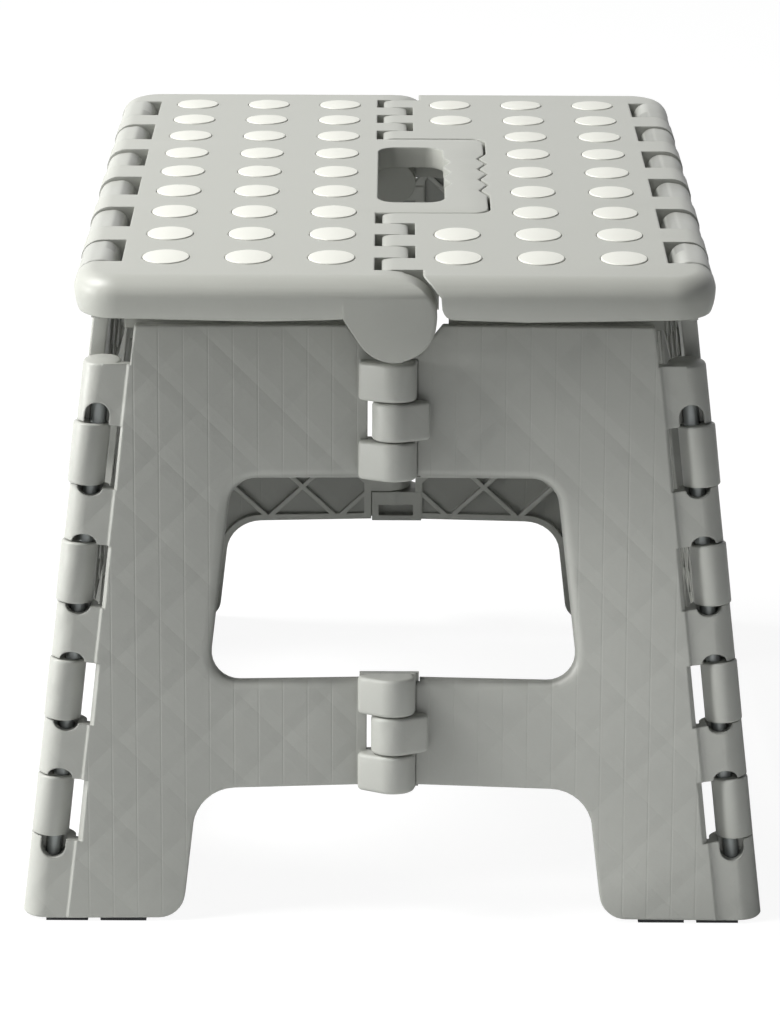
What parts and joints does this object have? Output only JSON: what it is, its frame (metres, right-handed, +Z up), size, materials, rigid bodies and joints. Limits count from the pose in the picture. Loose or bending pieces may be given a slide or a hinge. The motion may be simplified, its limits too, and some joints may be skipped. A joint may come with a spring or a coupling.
{
  "type": "folding step stool",
  "caption": "Rectangular step stool whose ribbed walls fold inward on steel rods when its hinged, non-slip seat is lifted by a carry handle.",
  "frame": {"origin": "on the floor, under the middle of the seat, with the stool standing open", "axes": "+Z up, the front wall towards -Y, the side walls at -X and +X"},
  "size_m": [0.2632, 0.3146, 0.2383],
  "materials": {
    "panel": "satin moulded polypropylene, light grey",
    "seat": "satin moulded polypropylene, light grey",
    "disc": "smooth soft rubber, off-white",
    "rod": "plain drawn steel",
    "sole": "matt dark rubber"
  },
  "bodies": {
    "side_left": {"side_panel_left": "panel", "corner_rod_front_left": "rod", "corner_rod_back_left": "rod", "seat_rod_left": "rod", "side_sole_front_left": "sole", "side_sole_back_left": "sole"},
    "front_left": {"front_panel_left": "panel", "front_hinge_pin_lower": "rod", "front_hinge_pin_upper": "rod", "front_sole_left": "sole"},
    "front_right": {"front_panel_right": "panel", "front_sole_right": "sole"},
    "side_right": {"side_panel_right": "panel", "corner_rod_front_right": "rod", "corner_rod_back_right": "rod", "seat_rod_right": "rod", "side_sole_front_right": "sole", "side_sole_back_right": "sole"},
    "back_left": {"back_panel_left": "panel", "back_sole_left": "sole"},
    "back_right": {"back_panel_right": "panel", "back_hinge_pin_lower": "rod", "back_hinge_pin_upper": "rod", "back_sole_right": "sole"},
    "seat_left": {"seat_left": "seat", "grip_strip_1": "disc", "grip_strip_2": "disc", "grip_strip_3": "disc", "seat_rod_front": "rod", "seat_rod_back": "rod"},
    "seat_right": {"seat_right": "seat", "grip_strip_4_front": "disc", "grip_strip_4_back": "disc", "grip_strip_5": "disc", "grip_strip_6": "disc"}
  },
  "joints": [
    {"name": "fold", "type": "hinge", "parent": "side_left", "child": "front_left", "pos_m": [-0.1247, -0.1475, 0], "axis": [0.1109, 0.1311, 0.9851], "range_deg": [0, 86.8]},
    {"name": "front_centre_hinge", "type": "hinge", "parent": "front_left", "child": "front_right", "pos_m": [0, -0.1566, 0], "axis": [0, -0.1399, -0.9902], "range_deg": [0, 172.1]},
    {"name": "front_right_corner", "type": "hinge", "parent": "front_right", "child": "side_right", "pos_m": [0.1247, -0.1475, 0], "axis": [-0.1109, 0.1311, 0.9851], "range_deg": [0, 86.9]},
    {"name": "back_left_corner", "type": "hinge", "parent": "side_left", "child": "back_left", "pos_m": [-0.1247, 0.1475, 0], "axis": [-0.1109, 0.1311, -0.9851], "range_deg": [0, 86.9]},
    {"name": "back_right_corner", "type": "hinge", "parent": "side_right", "child": "back_right", "pos_m": [0.1247, 0.1475, 0], "axis": [-0.1109, -0.1311, 0.9851], "range_deg": [0, 86.9]},
    {"name": "seat_left_hinge", "type": "hinge", "parent": "side_left", "child": "seat_left", "pos_m": [-0.1025, 0, 0.2317], "axis": [0, -1, 0], "range_deg": [0, 79.4]},
    {"name": "seat_right_hinge", "type": "hinge", "parent": "side_right", "child": "seat_right", "pos_m": [0.1025, 0, 0.2317], "axis": [0, 1, 0], "range_deg": [0, 79.4]}
  ],
  "couplings": [
    {"joint": "front_centre_hinge", "follows": "fold", "ratio": 1.9815},
    {"joint": "front_right_corner", "follows": "fold", "ratio": 1},
    {"joint": "back_left_corner", "follows": "fold", "ratio": 1},
    {"joint": "back_right_corner", "follows": "fold", "ratio": 1},
    {"joint": "seat_left_hinge", "follows": "fold", "ratio": 0.91413},
    {"joint": "seat_right_hinge", "follows": "fold", "ratio": 0.91413}
  ]
}
